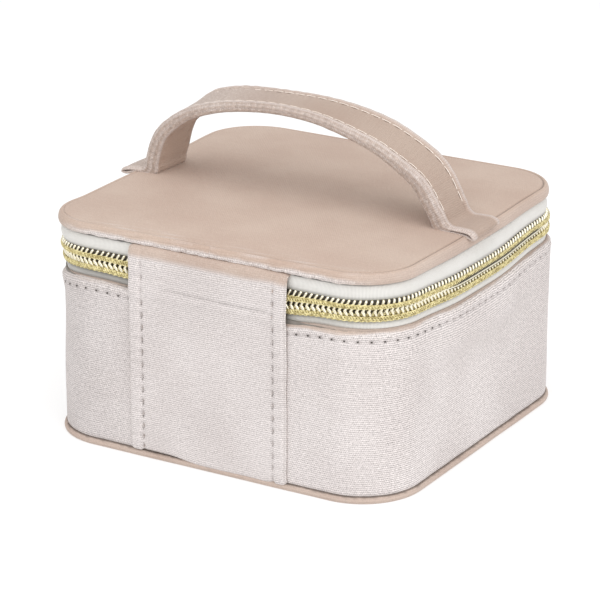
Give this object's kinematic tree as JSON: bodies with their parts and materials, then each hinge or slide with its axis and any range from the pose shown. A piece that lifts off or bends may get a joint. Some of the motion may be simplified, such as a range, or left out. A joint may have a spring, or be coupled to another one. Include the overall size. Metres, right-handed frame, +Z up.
{
  "type": "travel jewelry case",
  "caption": "Rounded-square velvet travel case with a zip-round hinged lid, a strap handle on top, a fabric hinge at the back and a padded, divided interior for jewelry.",
  "frame": {"origin": "centre of the underside, at the middle of the case's width and depth", "axes": "+Z up, -Y towards the front where the two zip sliders meet, +Y towards the fabric hinge, +X to the right as seen from the front"},
  "size_m": [0.12, 0.1216, 0.0987],
  "materials": {
    "velvet": "brushed velvet",
    "lining": "soft suede",
    "padding": "soft foam",
    "tape": "fine woven ribs",
    "board": "grey board",
    "coil": "metallic gold",
    "metal": "polished pale gold",
    "mirror": "silvered"
  },
  "bodies": {
    "base": {"bottom_cover": "velvet", "bottom_trim": "velvet", "bottom_board": "board", "wall_cover": "velvet", "wall_board": "board", "wall_padding": "padding", "wall_lining": "lining", "floor_pad": "lining", "hinge_panel": "velvet", "hinge_lining": "lining", "lower_tape": "tape", "lower_coil": "coil", "divider_long": "lining", "divider_front": "lining", "divider_back": "lining", "ring_roll_1": "lining", "ring_roll_2": "lining", "ring_roll_3": "lining", "ring_roll_4": "lining", "ring_roll_5": "lining"},
    "lid": {"lid_rim": "velvet", "lid_board": "board", "lid_foam": "padding", "lid_cover": "velvet", "lid_lining": "lining", "lid_mirror": "mirror", "mirror_frame": "lining", "upper_tape": "tape", "upper_coil": "coil", "hinge_flap": "velvet", "strap_outer": "velvet", "strap_inner": "velvet", "strap_end_left": "velvet", "strap_end_right": "velvet"},
    "slider_left": {"slider_left": "metal"},
    "slider_right": {"slider_right": "metal"},
    "puller_left": {"puller_left": "metal"},
    "puller_right": {"puller_right": "metal"}
  },
  "joints": [
    {"name": "lid_hinge", "type": "hinge", "parent": "base", "child": "lid", "pos_m": [0, 0.0585, 0.0662], "axis": [-1, 0, 0], "range_deg": [0, 110]},
    {"name": "slider_left_slide", "type": "slide", "parent": "base", "child": "slider_left", "axis": [-1, 0, 0], "range_m": [0, 0.028]},
    {"name": "slider_right_slide", "type": "slide", "parent": "base", "child": "slider_right", "axis": [1, 0, 0], "range_m": [0, 0.028]},
    {"name": "puller_left_swing", "type": "hinge", "parent": "slider_left", "child": "puller_left", "pos_m": [-0.0063, -0.0606, 0.0584], "axis": [-1, 0, 0], "range_deg": [0, 170]},
    {"name": "puller_right_swing", "type": "hinge", "parent": "slider_right", "child": "puller_right", "pos_m": [0.0063, -0.0606, 0.0584], "axis": [-1, 0, 0], "range_deg": [0, 170]}
  ]
}
